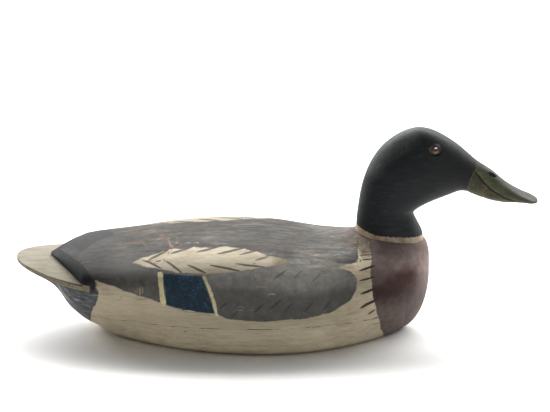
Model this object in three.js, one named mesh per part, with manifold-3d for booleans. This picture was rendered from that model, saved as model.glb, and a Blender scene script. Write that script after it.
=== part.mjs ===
// A carved and painted wooden mallard drake decoy: a hull-shaped body on a bottom board,
// a head with neck and bill carved from one block, and two glass eyes.
// Millimetres, +Z up, the bill along +X and the bird's right side along -Y.
// The origin is in the middle of the box around the decoy, on the surface that it stands on.
import * as THREE from "three";
import { mergeVertices } from "three/addons/utils/BufferGeometryUtils.js";
import Module from "manifold-3d";

const wasm = await Module();
wasm.setup();

// Overall sizes
const LENGTH = 432;
const TAIL_TIP = -LENGTH / 2;
const BREAST_FRONT = 127;
const BODY_HALF_WIDTH = 80;
const WIDEST_AT = TAIL_TIP + 180;
const BOARD_THICKNESS = 24;
const JOINT_GAP = 0.3;

// Plan outline at the widest height: how full its rear and front ends are
const REAR_FULLNESS = 2.05;
const FRONT_FULLNESS = 2.25;

// Outline of the flat underside: its ends, its widest place and how pointed the ends are
const FOOT_STERN = TAIL_TIP + 68;
const FOOT_BOW = TAIL_TIP + 322;
const FOOT_WIDEST_AT = TAIL_TIP + 206;
const FOOT_HALF_WIDTH = 76.5;
const STERN_POINT = 1.3;
const BOW_POINT = 1.3;
const CHINE_RADIUS = 7;

// Tail: a cambered plate that the rump stands on with a V-shaped step
const TAIL_HEIGHT = 63;
const TAIL_CAMBER_RADIUS = 215;
const TAIL_EDGE = 2.4;
const ROOT_EDGE = 5.5;
const STEP_HEIGHT = 2.3;
const STEP_POINT = TAIL_TIP + 28.5;
const STEP_SPAN = 29;
const STEP_SPREAD = 60;
const STEP_CURVE = 0.85;
const TAIL_ROOT = TAIL_TIP + 60;
const SIDE_BLEND = 55;

// Breast: quarter ovals that meet at its foremost point
const BREAST_POINT_HEIGHT = 54;
const BREAST_TOP_START = BREAST_FRONT - 43;
const BREAST_TOP_RISE = 30;
const BREAST_TOP_FULLNESS = 3.3;
const BREAST_KEEL_START = BREAST_FRONT - 27;
const BREAST_KEEL_FULLNESS = 2.15;

// Sections below the widest height: round at both ends, and flared like a boat's between them
const END_ROUNDNESS = 0.7;
const MIDDLE_ROUNDNESS = 0.25;
const FLARED_FROM_FOOT = 45;

// Heights along the body and how full the back's dome is, as [distance from the tail tip, value]
const RIDGE = [
  [31, 65.3], [40, 69.3], [49, 72.6], [60, 74.9], [78, 76.6], [100, 78.7], [134, 82.1],
  [176, 84.1], [210, 83.2], [232, 81.1], [250, 79.7], [268, 80.5], [286, 82.4], [300, 84],
];
const KEEL = [
  [0, 60.6], [12, 57.2], [22, 53.4], [30, 46], [34, 40], [39, 30], [44, 21], [51, 14],
  [58, 8.8], [65, 5], [73, 2], [84, 0],
];
const BACK_FULLNESS = [
  [55, 2], [95, 2.5], [140, 3], [215, 3], [245, 2.6], [270, 2.15], [290, 2],
];
const WIDEST_HEIGHT = [
  [60, 50], [100, 46.5], [150, 44], [250, 44], [300, 47.5], [343, 54],
];

// Neck joint: a flat seat that falls towards the breast
const SEAT_BACK = new THREE.Vector2(65, 85.2);
const SEAT_FRONT = new THREE.Vector2(122.3, 75.2);
const SEAT_HALF_WIDTH = 25.5;
const COLLAR_RISE = 3;
const COLLAR_REACH = 0.55;

// Head: ribs from the neck seat to the bill tip. Each spans from the back of the neck, crown
// or bill to the throat or lower bill, both as [x, z], with its half width and its fullness.
const RIBS = [
  { back: [65, 85.2], front: [122.3, 75.2], halfWidth: 25.5, fullness: 2.1, lean: 0 },
  { back: [65.6, 90], front: [120.4, 84.5], halfWidth: 23.5, fullness: 2.1, lean: 0 },
  { back: [66.4, 101], front: [113.8, 98.5], halfWidth: 21.3, fullness: 2.1, lean: 0 },
  { back: [69, 118.5], front: [115.8, 103], halfWidth: 20.8, fullness: 2.1, lean: 0 },
  { back: [72.2, 131], front: [124.2, 108], halfWidth: 21, fullness: 2.15, lean: -0.02 },
  { back: [77.5, 143.8], front: [133, 112], halfWidth: 21.6, fullness: 2.2, lean: -0.05 },
  { back: [86, 156], front: [141, 115], halfWidth: 22, fullness: 2.2, lean: -0.08 },
  { back: [96.5, 165], front: [146.5, 117.2], halfWidth: 21.8, fullness: 2.2, lean: -0.1 },
  { back: [107, 170.6], front: [150.2, 118.5], halfWidth: 21.2, fullness: 2.2, lean: -0.1 },
  { back: [116.5, 172.6], front: [153, 118.8], halfWidth: 20, fullness: 2.2, lean: -0.1 },
  { back: [126.5, 171], front: [155.2, 118.6], halfWidth: 18.6, fullness: 2.2, lean: -0.1 },
  { back: [137, 166.2], front: [157.3, 118.2], halfWidth: 17, fullness: 2.2, lean: -0.1 },
  { back: [148, 159], front: [159.6, 117], halfWidth: 15.2, fullness: 2.2, lean: -0.1 },
  { back: [156, 152.3], front: [162, 115.9], halfWidth: 13.6, fullness: 2.2, lean: -0.1 },
  { back: [164, 145.2], front: [166, 114.2], halfWidth: 12.2, fullness: 2.2, lean: -0.1 },
  { back: [171.5, 140], front: [171.6, 112.3], halfWidth: 11.4, fullness: 2.2, lean: -0.08 },
  { back: [179, 134.8], front: [178.4, 110.2], halfWidth: 11, fullness: 2.2, lean: -0.05 },
  { back: [189, 126], front: [188, 108.8], halfWidth: 11, fullness: 2.3, lean: 0 },
  { back: [201, 118.4], front: [200.4, 108.9], halfWidth: 11.8, fullness: 2.5, lean: 0 },
  { back: [209.5, 114.3], front: [208.6, 108.4], halfWidth: 11.6, fullness: 2.6, lean: 0 },
  { back: [213.6, 112.2], front: [213, 108.4], halfWidth: 9, fullness: 2.6, lean: 0 },
  { back: [215.5, 111], front: [215.2, 108.7], halfWidth: 5, fullness: 2.4, lean: 0 },
  { back: [216, 109.9], front: [216, 109.9], halfWidth: 0, fullness: 2.2, lean: 0 },
];

// Eyes: glass domes set in round sockets, turned a little up and forward
const EYE = { x: 129.9, z: 157.4, out: 14.7, radius: 4.5, bulge: 1.8, depth: 3.5 };
const EYE_UP = THREE.MathUtils.degToRad(14);
const EYE_FORWARD = THREE.MathUtils.degToRad(10);

// Nostrils: shallow slanted hollows on both sides of the bill
const NOSTRIL = { x: 178.5, z: 133, out: 7, length: 7.5, height: 2.6, depth: 2.6 };
const NOSTRIL_UP = THREE.MathUtils.degToRad(40);
const BILL_SLOPE = THREE.MathUtils.degToRad(33);

// How finely the surfaces are divided
const BODY_STATIONS = 51;
const DOME_STEPS = 12;
const SHELF_STEPS = 3;
const BELLY_STEPS = 12;
const RIB_STEPS = 41;
const RIB_POINTS = 34;
const EYE_SIDES = 20;
const EYE_DOME_STEPS = 6;
const MERGE_DISTANCE = 1e-3;

const mix = (a, b, t) => a + (b - a) * t;
const clamp01 = (t) => Math.min(1, Math.max(0, t));
const smoothStep = (t) => clamp01(t) ** 2 * (3 - 2 * clamp01(t));
const quarterOval = (t, fullness) => (1 - clamp01(t) ** fullness) ** (1 / fullness);

// A smooth curve through values given at rising positions
function through(positions, values) {
  const last = positions.length - 1;
  const slope = (i) => {
    const a = Math.max(0, i - 1);
    const b = Math.min(last, i + 1);
    return (values[b] - values[a]) / (positions[b] - positions[a]);
  };
  return (at) => {
    if (at <= positions[0]) return values[0];
    if (at >= positions[last]) return values[last];
    const i = positions.findIndex((p, k) => at < positions[k + 1]);
    const span = positions[i + 1] - positions[i];
    const t = (at - positions[i]) / span;
    const start = (1 + 2 * t) * (1 - t) ** 2 * values[i] + t * (1 - t) ** 2 * span * slope(i);
    const end = t * t * (3 - 2 * t) * values[i + 1] + t * t * (t - 1) * span * slope(i + 1);
    return start + end;
  };
}

const alongBody = (pairs) =>
  through(pairs.map((p) => TAIL_TIP + p[0]), pairs.map((p) => p[1]));
const ridgeCurve = alongBody(RIDGE);
const keelCurve = alongBody(KEEL);
const backFullness = alongBody(BACK_FULLNESS);
const widestHeight = alongBody(WIDEST_HEIGHT);

function planHalfWidth(x) {
  if (x < WIDEST_AT) {
    const t = clamp01((x - TAIL_TIP) / (WIDEST_AT - TAIL_TIP));
    return BODY_HALF_WIDTH * Math.sqrt(1 - (1 - t) ** REAR_FULLNESS);
  }
  const t = clamp01((BREAST_FRONT - x) / (BREAST_FRONT - WIDEST_AT));
  return BODY_HALF_WIDTH * Math.sqrt(1 - (1 - t) ** FRONT_FULLNESS);
}

const tailSurface = (y) => TAIL_HEIGHT - y ** 2 / (2 * TAIL_CAMBER_RADIUS);
const sideBlend = (x) => smoothStep((x - TAIL_ROOT) / SIDE_BLEND);

function ridgeHeight(x) {
  if (x < BREAST_TOP_START) return ridgeCurve(x);
  const t = (x - BREAST_TOP_START) / (BREAST_FRONT - BREAST_TOP_START);
  return BREAST_POINT_HEIGHT + BREAST_TOP_RISE * quarterOval(t, BREAST_TOP_FULLNESS);
}

function keelHeight(x) {
  if (x < BREAST_KEEL_START) return keelCurve(x);
  const t = (x - BREAST_KEEL_START) / (BREAST_FRONT - BREAST_KEEL_START);
  return BREAST_POINT_HEIGHT * (1 - quarterOval(t, BREAST_KEEL_FULLNESS));
}

// Half the width of the flat underside, which has pointed ends
function footHalfWidth(x) {
  const end = x < FOOT_WIDEST_AT ? FOOT_STERN : FOOT_BOW;
  const point = x < FOOT_WIDEST_AT ? STERN_POINT : BOW_POINT;
  const t = clamp01((x - FOOT_WIDEST_AT) / (end - FOOT_WIDEST_AT));
  return FOOT_HALF_WIDTH * (1 - t * t) ** (1 / point);
}

// Half the distance between the arms of the V-shaped step, which end at the tail's root
function stepHalfWidth(x) {
  const t = Math.max(0, x - STEP_POINT) / STEP_SPAN;
  return Math.min(planHalfWidth(x), STEP_SPREAD * t ** STEP_CURVE);
}

// How much the back rises around the neck, where the carver left a collar for it
function collarRise(x, y) {
  const seatMiddle = (SEAT_BACK.x + SEAT_FRONT.x) / 2;
  const seatHalfLength = (SEAT_FRONT.x - SEAT_BACK.x) / 2;
  const reach = Math.hypot((x - seatMiddle) / seatHalfLength, y / SEAT_HALF_WIDTH);
  return COLLAR_RISE * (1 - smoothStep((reach - 1) / COLLAR_REACH));
}

// A domed line from the ridge of the back out to where it meets the tail or the side
function backLine(x, halfWidth, edgeHeight, onStep) {
  const stepTop = edgeHeight + (onStep ? STEP_HEIGHT * (1 - sideBlend(x)) : 0);
  const rise = onStep ? Math.max(0, ridgeHeight(x) - stepTop) : 0;
  const power = 2 / backFullness(x);
  const line = [];
  for (let i = 0; i <= DOME_STEPS; i++) {
    const angle = (Math.PI / 2) * (i / DOME_STEPS);
    const y = halfWidth * Math.sin(angle) ** power;
    const collar = onStep ? collarRise(x, y) : 0;
    const share = i === DOME_STEPS ? 0 : Math.cos(angle) ** power;
    line.push([y, stepTop + (rise + collar) * share]);
  }
  return line;
}

// A line from the widest height down to the flat underside or the keel
function bellyLine(x, halfWidth, edgeHeight) {
  const keel = Math.min(keelHeight(x), edgeHeight);
  const foot = Math.min(footHalfWidth(x), halfWidth);
  const chine = Math.min(CHINE_RADIUS, foot);
  const roundness = mix(END_ROUNDNESS, MIDDLE_ROUNDNESS, smoothStep(foot / FLARED_FROM_FOOT));
  const line = [];
  for (let i = 0; i <= BELLY_STEPS; i++) {
    const angle = (Math.PI / 2) * (i / BELLY_STEPS);
    const share = i === BELLY_STEPS ? 0 : 1 - Math.sin(angle);
    const rise = (edgeHeight - keel) * share;
    const flare = share === 0 ? 0 : mix(smoothStep(share), Math.cos(angle), roundness);
    const inset = chine - Math.sqrt(chine ** 2 - Math.max(0, chine - rise) ** 2);
    line.push([Math.max(0, foot + (halfWidth - foot) * flare - inset), keel + rise]);
  }
  return [...line, [0, keel]];
}

// The body's outline around its section at x. Before the V-shaped step begins, the section is
// the tail alone.
function bodyRing(x, onStep) {
  const width = planHalfWidth(x);
  const blend = sideBlend(x);
  const thickness = mix(TAIL_EDGE, ROOT_EDGE, clamp01((x - TAIL_TIP) / (TAIL_ROOT - TAIL_TIP)));
  const edgeTop = mix(tailSurface(width), widestHeight(x), blend);
  const edgeBottom = mix(tailSurface(width) - thickness, widestHeight(x), blend);
  const backWidth = stepHalfWidth(x);
  const pastTail = backWidth === width;
  const half = backLine(x, backWidth, pastTail ? edgeTop : tailSurface(backWidth), onStep);
  for (let i = 0; i <= SHELF_STEPS; i++) {
    const y = mix(backWidth, width, i / SHELF_STEPS);
    half.push([y, pastTail ? edgeTop : tailSurface(y)]);
  }
  half.push(...bellyLine(x, width, edgeBottom));
  const left = half.map(([y, z]) => new THREE.Vector3(x, y, z));
  const right = half.slice(1, -1).reverse().map(([y, z]) => new THREE.Vector3(x, -y, z));
  return [...left, ...right];
}

// A skin over rings of points, made by moving the corners of a flat grid
function loft(rings) {
  const grid = new THREE.PlaneGeometry(1, 1, rings[0].length, rings.length - 1);
  return grid.setFromPoints(rings.flatMap((ring) => [...ring, ring[0]]));
}

// A ring shrunk to its middle, which closes a loft's end with a flat face
function flatEnd(ring) {
  const middle = new THREE.Vector3();
  for (const point of ring) middle.addScaledVector(point, 1 / ring.length);
  return ring.map(() => middle);
}

// A closed geometry as a solid that can be joined and cut
function solidOf(geometry, matrix = new THREE.Matrix4()) {
  const plain = geometry.clone().applyMatrix4(matrix);
  plain.deleteAttribute("normal");
  plain.deleteAttribute("uv");
  const merged = mergeVertices(plain, MERGE_DISTANCE);
  const triangles = [];
  for (let i = 0; i < merged.index.count; i += 3) {
    const corners = merged.index.array.slice(i, i + 3);
    if (new Set(corners).size === 3) triangles.push(...corners);
  }
  const vertProperties = merged.attributes.position.array;
  const triVerts = new Uint32Array(triangles);
  return new wasm.Manifold(new wasm.Mesh({ numProp: 3, vertProperties, triVerts }));
}

function geometryOf(solid) {
  const mesh = solid.getMesh();
  const geometry = new THREE.BufferGeometry();
  geometry.setAttribute("position", new THREE.BufferAttribute(mesh.vertProperties, 3));
  geometry.setIndex(new THREE.BufferAttribute(mesh.triVerts, 1));
  geometry.computeVertexNormals();
  return geometry;
}

// Everything between two heights, as a block far wider than the decoy
function layer(low, high) {
  const block = new THREE.BoxGeometry(2 * LENGTH, 2 * LENGTH, high - low);
  return solidOf(block.translate(0, 0, (low + high) / 2));
}

function makeHull() {
  const places = [];
  for (let i = 0; i <= BODY_STATIONS; i++) {
    const share = i / BODY_STATIONS;
    const crowdedAtEnds = (1 - Math.cos(Math.PI * share)) / 2;
    places.push(mix(TAIL_TIP, BREAST_FRONT, mix(share, crowdedAtEnds, 0.75)));
  }
  const tail = [...places.filter((x) => x < STEP_POINT), STEP_POINT];
  const rest = [STEP_POINT, ...places.filter((x) => x > STEP_POINT)];
  const rings = [...tail.map((x) => bodyRing(x, false)), ...rest.map((x) => bodyRing(x, true))];
  return solidOf(loft(rings));
}

// Head ribs, smoothly filled in between the listed ones
const ribNumbers = RIBS.map((rib, i) => i);
const ribCurve = (pick) => through(ribNumbers, RIBS.map(pick));
const backX = ribCurve((r) => r.back[0]);
const backZ = ribCurve((r) => r.back[1]);
const frontX = ribCurve((r) => r.front[0]);
const frontZ = ribCurve((r) => r.front[1]);
const ribHalfWidth = ribCurve((r) => r.halfWidth);
const ribFullness = ribCurve((r) => r.fullness);
const ribLean = ribCurve((r) => r.lean);

function headRing(at, grow = 0) {
  const back = new THREE.Vector3(backX(at), 0, backZ(at));
  const front = new THREE.Vector3(frontX(at), 0, frontZ(at));
  const middle = back.clone().add(front).multiplyScalar(0.5);
  const reach = back.clone().sub(middle);
  reach.setLength(reach.length() + grow);
  const width = Math.max(0, ribHalfWidth(at) + grow);
  const ring = [];
  for (let i = 0; i < RIB_POINTS; i++) {
    const angle = (2 * Math.PI * i) / RIB_POINTS;
    const along = Math.cos(angle);
    const side = Math.sign(Math.sin(angle)) * Math.abs(Math.sin(angle)) ** (2 / ribFullness(at));
    const y = side * width * (1 + ribLean(at) * along);
    ring.push(middle.clone().addScaledVector(reach, along).setY(y));
  }
  return ring;
}

function makeHeadBlock() {
  const rings = [flatEnd(headRing(0))];
  for (let i = 0; i <= RIB_STEPS; i++) rings.push(headRing((i / RIB_STEPS) * (RIBS.length - 1)));
  return solidOf(loft(rings));
}

// The room that the neck's foot takes above its seat
function neckRoom() {
  const foot = headRing(0, JOINT_GAP);
  const above = foot.map((point) => point.clone().setZ(LENGTH));
  return solidOf(loft([flatEnd(foot), foot, above, flatEnd(above)]));
}

// Where a thing on the head goes: side is -1 on the bird's right and 1 on its left. The
// thing's own +Z then points out of the head.
function placeOnHead(object, side, spot, up, forward) {
  object.rotation.order = "ZXY";
  object.rotation.set(side * (up - Math.PI / 2), 0, -side * forward);
  object.position.set(spot.x, side * spot.out, spot.z);
  object.updateMatrix();
  return object;
}

// A button with a domed front, its outline turned around its own Z axis
function eyeGeometry() {
  const back = JOINT_GAP - EYE.depth;
  const outline = [new THREE.Vector2(0, back), new THREE.Vector2(EYE.radius, back)];
  for (let i = 0; i < EYE_DOME_STEPS; i++) {
    const angle = (Math.PI / 2) * (i / EYE_DOME_STEPS);
    outline.push(new THREE.Vector2(EYE.radius * Math.cos(angle), EYE.bulge * Math.sin(angle)));
  }
  outline.push(new THREE.Vector2(0, EYE.bulge));
  return new THREE.LatheGeometry(outline, EYE_SIDES).rotateX(Math.PI / 2);
}

function socketCutter(side) {
  const radius = EYE.radius + JOINT_GAP;
  const bore = new THREE.CylinderGeometry(radius, radius, 2 * EYE.depth, EYE_SIDES);
  const spot = placeOnHead(new THREE.Object3D(), side, EYE, EYE_UP, EYE_FORWARD);
  return solidOf(bore.rotateX(Math.PI / 2), spot.matrix);
}

function nostrilCutter(side) {
  const hollow = new THREE.SphereGeometry(0.5, 16, 10);
  hollow.scale(NOSTRIL.length, NOSTRIL.height, NOSTRIL.depth).rotateZ(side * BILL_SLOPE);
  const spot = placeOnHead(new THREE.Object3D(), side, NOSTRIL, NOSTRIL_UP, 0);
  return solidOf(hollow, spot.matrix);
}

function makePart(name, geometry, color, roughness) {
  const material = new THREE.MeshStandardMaterial({ color, roughness, metalness: 0 });
  const mesh = new THREE.Mesh(geometry, material);
  mesh.name = name;
  return mesh;
}

function makeBody(hull) {
  const block = hull.intersect(layer(BOARD_THICKNESS + JOINT_GAP, LENGTH)).subtract(neckRoom());
  return makePart("body", geometryOf(block), 0x77726a, 0.75);
}

function makeBottomBoard(hull) {
  const board = hull.intersect(layer(-JOINT_GAP, BOARD_THICKNESS));
  return makePart("bottom_board", geometryOf(board), 0xa3967c, 0.75);
}

// The head and its eyes, lifted off the seat by the joint's gap
function makeHeadGroup() {
  const group = new THREE.Group();
  group.position.z = JOINT_GAP;
  let block = makeHeadBlock();
  for (const [name, side] of [["right_eye", -1], ["left_eye", 1]]) {
    block = block.subtract(socketCutter(side)).subtract(nostrilCutter(side));
    const eye = makePart(name, eyeGeometry(), 0x2b1c10, 0.1);
    group.add(placeOnHead(eye, side, EYE, EYE_UP, EYE_FORWARD));
  }
  group.add(makePart("head", geometryOf(block), 0x1c2526, 0.6));
  return group;
}

const decoy = new THREE.Group();
const hull = makeHull();
decoy.add(makeBody(hull));
decoy.add(makeBottomBoard(hull));
decoy.add(makeHeadGroup());

export default decoy;
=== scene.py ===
import math
from functools import partial
import bmesh
import bpy
import numpy as np
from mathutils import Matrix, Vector, noise


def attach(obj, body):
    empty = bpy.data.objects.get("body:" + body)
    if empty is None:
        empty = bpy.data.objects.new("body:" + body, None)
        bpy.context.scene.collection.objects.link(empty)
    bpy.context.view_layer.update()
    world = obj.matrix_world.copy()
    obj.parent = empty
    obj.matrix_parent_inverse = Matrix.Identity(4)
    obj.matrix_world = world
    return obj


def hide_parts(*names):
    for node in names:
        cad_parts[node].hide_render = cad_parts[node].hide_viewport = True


# Carved and painted mallard drake decoy. All shaping is done in millimetres, with the bill along +X,
# and each piece is scaled to metres when it is finished.
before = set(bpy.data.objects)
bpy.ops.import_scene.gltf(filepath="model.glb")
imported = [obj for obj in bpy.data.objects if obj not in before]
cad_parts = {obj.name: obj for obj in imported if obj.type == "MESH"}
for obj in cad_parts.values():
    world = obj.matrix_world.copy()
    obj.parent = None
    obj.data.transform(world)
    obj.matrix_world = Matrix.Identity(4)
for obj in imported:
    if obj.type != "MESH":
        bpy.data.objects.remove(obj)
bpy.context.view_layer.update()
scene = bpy.context.scene
print("frame loaded")


def mix(a, b, t):
    return a + (b - a) * t


def smoothStep(t):
    t = np.clip(t, 0, 1)
    return t * t * (3 - 2 * t)


def quarterOval(t, fullness):
    return (1 - np.clip(t, 0, 1) ** fullness) ** (1 / fullness)


def battenCurve(pairs):
    # a smooth line through [place, value] pairs, as a batten bent round pins would lie
    places, values = (np.array(side, float) for side in zip(*pairs))
    ahead = np.minimum(np.arange(len(places)) + 1, len(places) - 1)
    behind = np.maximum(np.arange(len(places)) - 1, 0)
    slopes = (values[ahead] - values[behind]) / (places[ahead] - places[behind])

    def at(x):
        x = np.clip(x, places[0], places[-1])
        i = np.clip(np.searchsorted(places, x, "right") - 1, 0, len(places) - 2)
        span = places[i + 1] - places[i]
        t = (x - places[i]) / span
        start = (1 + 2 * t) * (1 - t) ** 2 * values[i] + t * (1 - t) ** 2 * span * slopes[i]
        return start + t * t * (3 - 2 * t) * values[i + 1] + t * t * (t - 1) * span * slopes[i + 1]

    return at


def gridSkin(places):
    # a closed skin, made by moving the vertices of a flat grid onto rows of places
    rows, columns = places.shape[0] - 1, places.shape[1] - 1
    bm = bmesh.new()
    bmesh.ops.create_grid(bm, x_segments=columns, y_segments=rows, size=0.5)
    kind = bm.verts.layers.float.new("row")
    for vert in bm.verts:
        i = round((vert.co.y + 0.5) * rows)
        j = round((vert.co.x + 0.5) * columns)
        vert.co = places[i, j, :3]
        vert[kind] = places[i, j, 3]
    bmesh.ops.remove_doubles(bm, verts=bm.verts, dist=0.01)
    bmesh.ops.recalc_face_normals(bm, faces=bm.faces)
    return bm


# knife work: broad hollows, this much longer along X than across, fine ones in them, the mean depth of
# both together as a share of the full depth, and how far each goes up and down from it
knife = {
    "longer": 1.8, "fineLength": 9, "fineWidth": 3.5, "fineShift": 40,
    "level": 0.5, "broad": 0.42, "fine": 0.12,
}


def carveUneven(bm, depth, grain, keep):
    # the hand-carved surface: shallow hollows that only ever go inwards
    bm.normal_update()
    long, wide = knife["fineLength"], knife["fineWidth"]
    for vert in bm.verts:
        x, y, z = vert.co
        broad = noise.noise(Vector((x / grain / knife["longer"], y / grain, z / grain)))
        fine = noise.noise(Vector((x / long, y / wide, z / wide + knife["fineShift"])))
        hollow = depth * (knife["level"] + knife["broad"] * broad + knife["fine"] * fine)
        vert.co -= vert.normal * max(0, hollow * (1 - keep(vert.co)))


def cutFlat(bm, height, normal):
    # keeps what lies against the normal, and closes the cut with one flat face
    whole = bm.verts[:] + bm.edges[:] + bm.faces[:]
    bmesh.ops.bisect_plane(
        bm, geom=whole, dist=0.001, plane_co=(0, 0, height), plane_no=normal, clear_outer=True
    )
    rim = [edge for edge in bm.edges if edge.is_boundary]
    bmesh.ops.holes_fill(bm, edges=rim, sides=0)
    bmesh.ops.recalc_face_normals(bm, faces=bm.faces)


def newObject(name, data):
    thing = bpy.data.objects.new(name, data)
    scene.collection.objects.link(thing)
    return thing


def finishedPiece(bm, name, node, crease=40):
    for face in bm.faces:
        face.smooth = True
    bmesh.ops.scale(bm, vec=(0.001, 0.001, 0.001), verts=bm.verts)
    mesh = bpy.data.meshes.new(name)
    bm.to_mesh(mesh)
    bm.free()
    mesh.set_sharp_from_angle(angle=math.radians(crease))
    piece = newObject(name, mesh)
    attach(piece, "root")
    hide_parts(node)
    print(name, len(mesh.polygons), "faces")
    return piece


# body and bottom board
hull = {
    "tailTip": -216,
    "breastFront": 127,
    "halfWidth": 80,
    "widestAt": -36,
    "rearFullness": 2.05,
    "frontFullness": 2.25,
    "seam": 24,
    "footStern": -148,
    "footBow": 106,
    "footWidestAt": -10,
    "footHalfWidth": 76.5,
    "sternPoint": 1.3,
    "bowPoint": 1.3,
    "lowerEdge": 7,
    "tailHeight": 63,
    "tailCamber": 215,
    "tailEdge": 2.4,
    "rootEdge": 5.5,
    "stepHeight": 2.3,
    "stepPoint": -187.5,
    "stepSpan": 29,
    "stepSpread": 60,
    "stepCurve": 0.85,
    "tailRoot": -156,
    "sideBlend": 55,
    "breastPoint": 54,
    "breastTopStart": 84,
    "breastTopRise": 30,
    "breastTopFullness": 3.3,
    "breastKeelStart": 100,
    "breastKeelFullness": 2.15,
    "endRoundness": 0.7,
    "middleRoundness": 0.25,
    "flaredFrom": 45,
    "collarRise": 3,
    "collarReach": 0.55,
    "stations": 300,
    "domeSteps": 58,
    "shelfSteps": 12,
    "rimSteps": 3,
    "bellySteps": 54,
    "underSteps": 8,
    "unevenness": 0.45,
    "grain": 24,
    "crowding": 0.75,
    "softenedTo": -131,
    "edgeReach": 0.6,
    "softening": 0.4,
    "seamGap": 0.12,
    "flatTo": 1.5,
    "carvedFrom": 6,
}

# by distance from the tail tip: heights of the ridge, keel and widest line, and how full the back is
ridgeLine = battenCurve([
    (31, 65.3), (40, 69.3), (49, 72.6), (60, 74.9), (78, 76.6), (100, 78.7), (134, 82.1),
    (176, 84.1), (210, 83.2), (232, 81.1), (250, 79.7), (268, 80.5), (286, 82.4), (300, 84),
])
keelLine = battenCurve([
    (0, 60.6), (12, 57.2), (22, 53.4), (30, 46), (34, 40), (39, 30), (44, 21), (51, 14),
    (58, 8.8), (65, 5), (73, 2), (84, 0),
])
backFullness = battenCurve([(55, 2), (95, 2.5), (140, 3), (215, 3), (245, 2.6), (270, 2.15), (290, 2)])
widestLine = battenCurve([(60, 50), (100, 46.5), (150, 44), (250, 44), (300, 47.5), (343, 54)])

neckSeat = {"back": (65, 85.2), "front": (122.3, 75.2), "halfWidth": 25.5, "lift": 0.3, "inset": 1.5}
seatSlope = (neckSeat["front"][1] - neckSeat["back"][1]) / (neckSeat["front"][0] - neckSeat["back"][0])


def seatHeight(x):
    return neckSeat["back"][1] + (x - neckSeat["back"][0]) * seatSlope


def seatReach(x, y, inset=0):
    # 1 on the outline of the neck's seat, less inside it
    back, front = neckSeat["back"][0], neckSeat["front"][0]
    ahead = (x - (back + front) / 2) / ((front - back) / 2 - inset)
    return np.hypot(ahead, y / (neckSeat["halfWidth"] - inset))


def planHalfWidth(x):
    rear = np.clip((x - hull["tailTip"]) / (hull["widestAt"] - hull["tailTip"]), 0, 1)
    front = np.clip((hull["breastFront"] - x) / (hull["breastFront"] - hull["widestAt"]), 0, 1)
    rearWidth = np.sqrt(1 - (1 - rear) ** hull["rearFullness"])
    frontWidth = np.sqrt(1 - (1 - front) ** hull["frontFullness"])
    return hull["halfWidth"] * np.where(x < hull["widestAt"], rearWidth, frontWidth)


def tailSurface(y):
    return hull["tailHeight"] - y**2 / (2 * hull["tailCamber"])


def stepHalfWidth(x):
    t = np.maximum(0, x - hull["stepPoint"]) / hull["stepSpan"]
    return np.minimum(planHalfWidth(x), hull["stepSpread"] * t ** hull["stepCurve"])


def footHalfWidth(x):
    stern = x < hull["footWidestAt"]
    end = np.where(stern, hull["footStern"], hull["footBow"])
    point = np.where(stern, hull["sternPoint"], hull["bowPoint"])
    t = np.clip((x - hull["footWidestAt"]) / (end - hull["footWidestAt"]), 0, 1)
    return hull["footHalfWidth"] * (1 - t * t) ** (1 / point)


def ridgeHeight(x):
    start, front = hull["breastTopStart"], hull["breastFront"]
    rise = hull["breastTopRise"] * quarterOval((x - start) / (front - start), hull["breastTopFullness"])
    return np.where(x < start, ridgeLine(x - hull["tailTip"]), hull["breastPoint"] + rise)


def keelHeight(x):
    start, front = hull["breastKeelStart"], hull["breastFront"]
    rise = 1 - quarterOval((x - start) / (front - start), hull["breastKeelFullness"])
    return np.where(x < start, keelLine(x - hull["tailTip"]), hull["breastPoint"] * rise)


def collarHeight(x, y):
    return hull["collarRise"] * (1 - smoothStep((seatReach(x, y) - 1) / hull["collarReach"]))


quarterTurn = 1.5707  # a hair under a right angle, so that the last step counts as past it
rowEnd = {"dome": 1.6, "shelf": 2.6, "rim": 3.6}  # between the numbers of the rows


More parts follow.
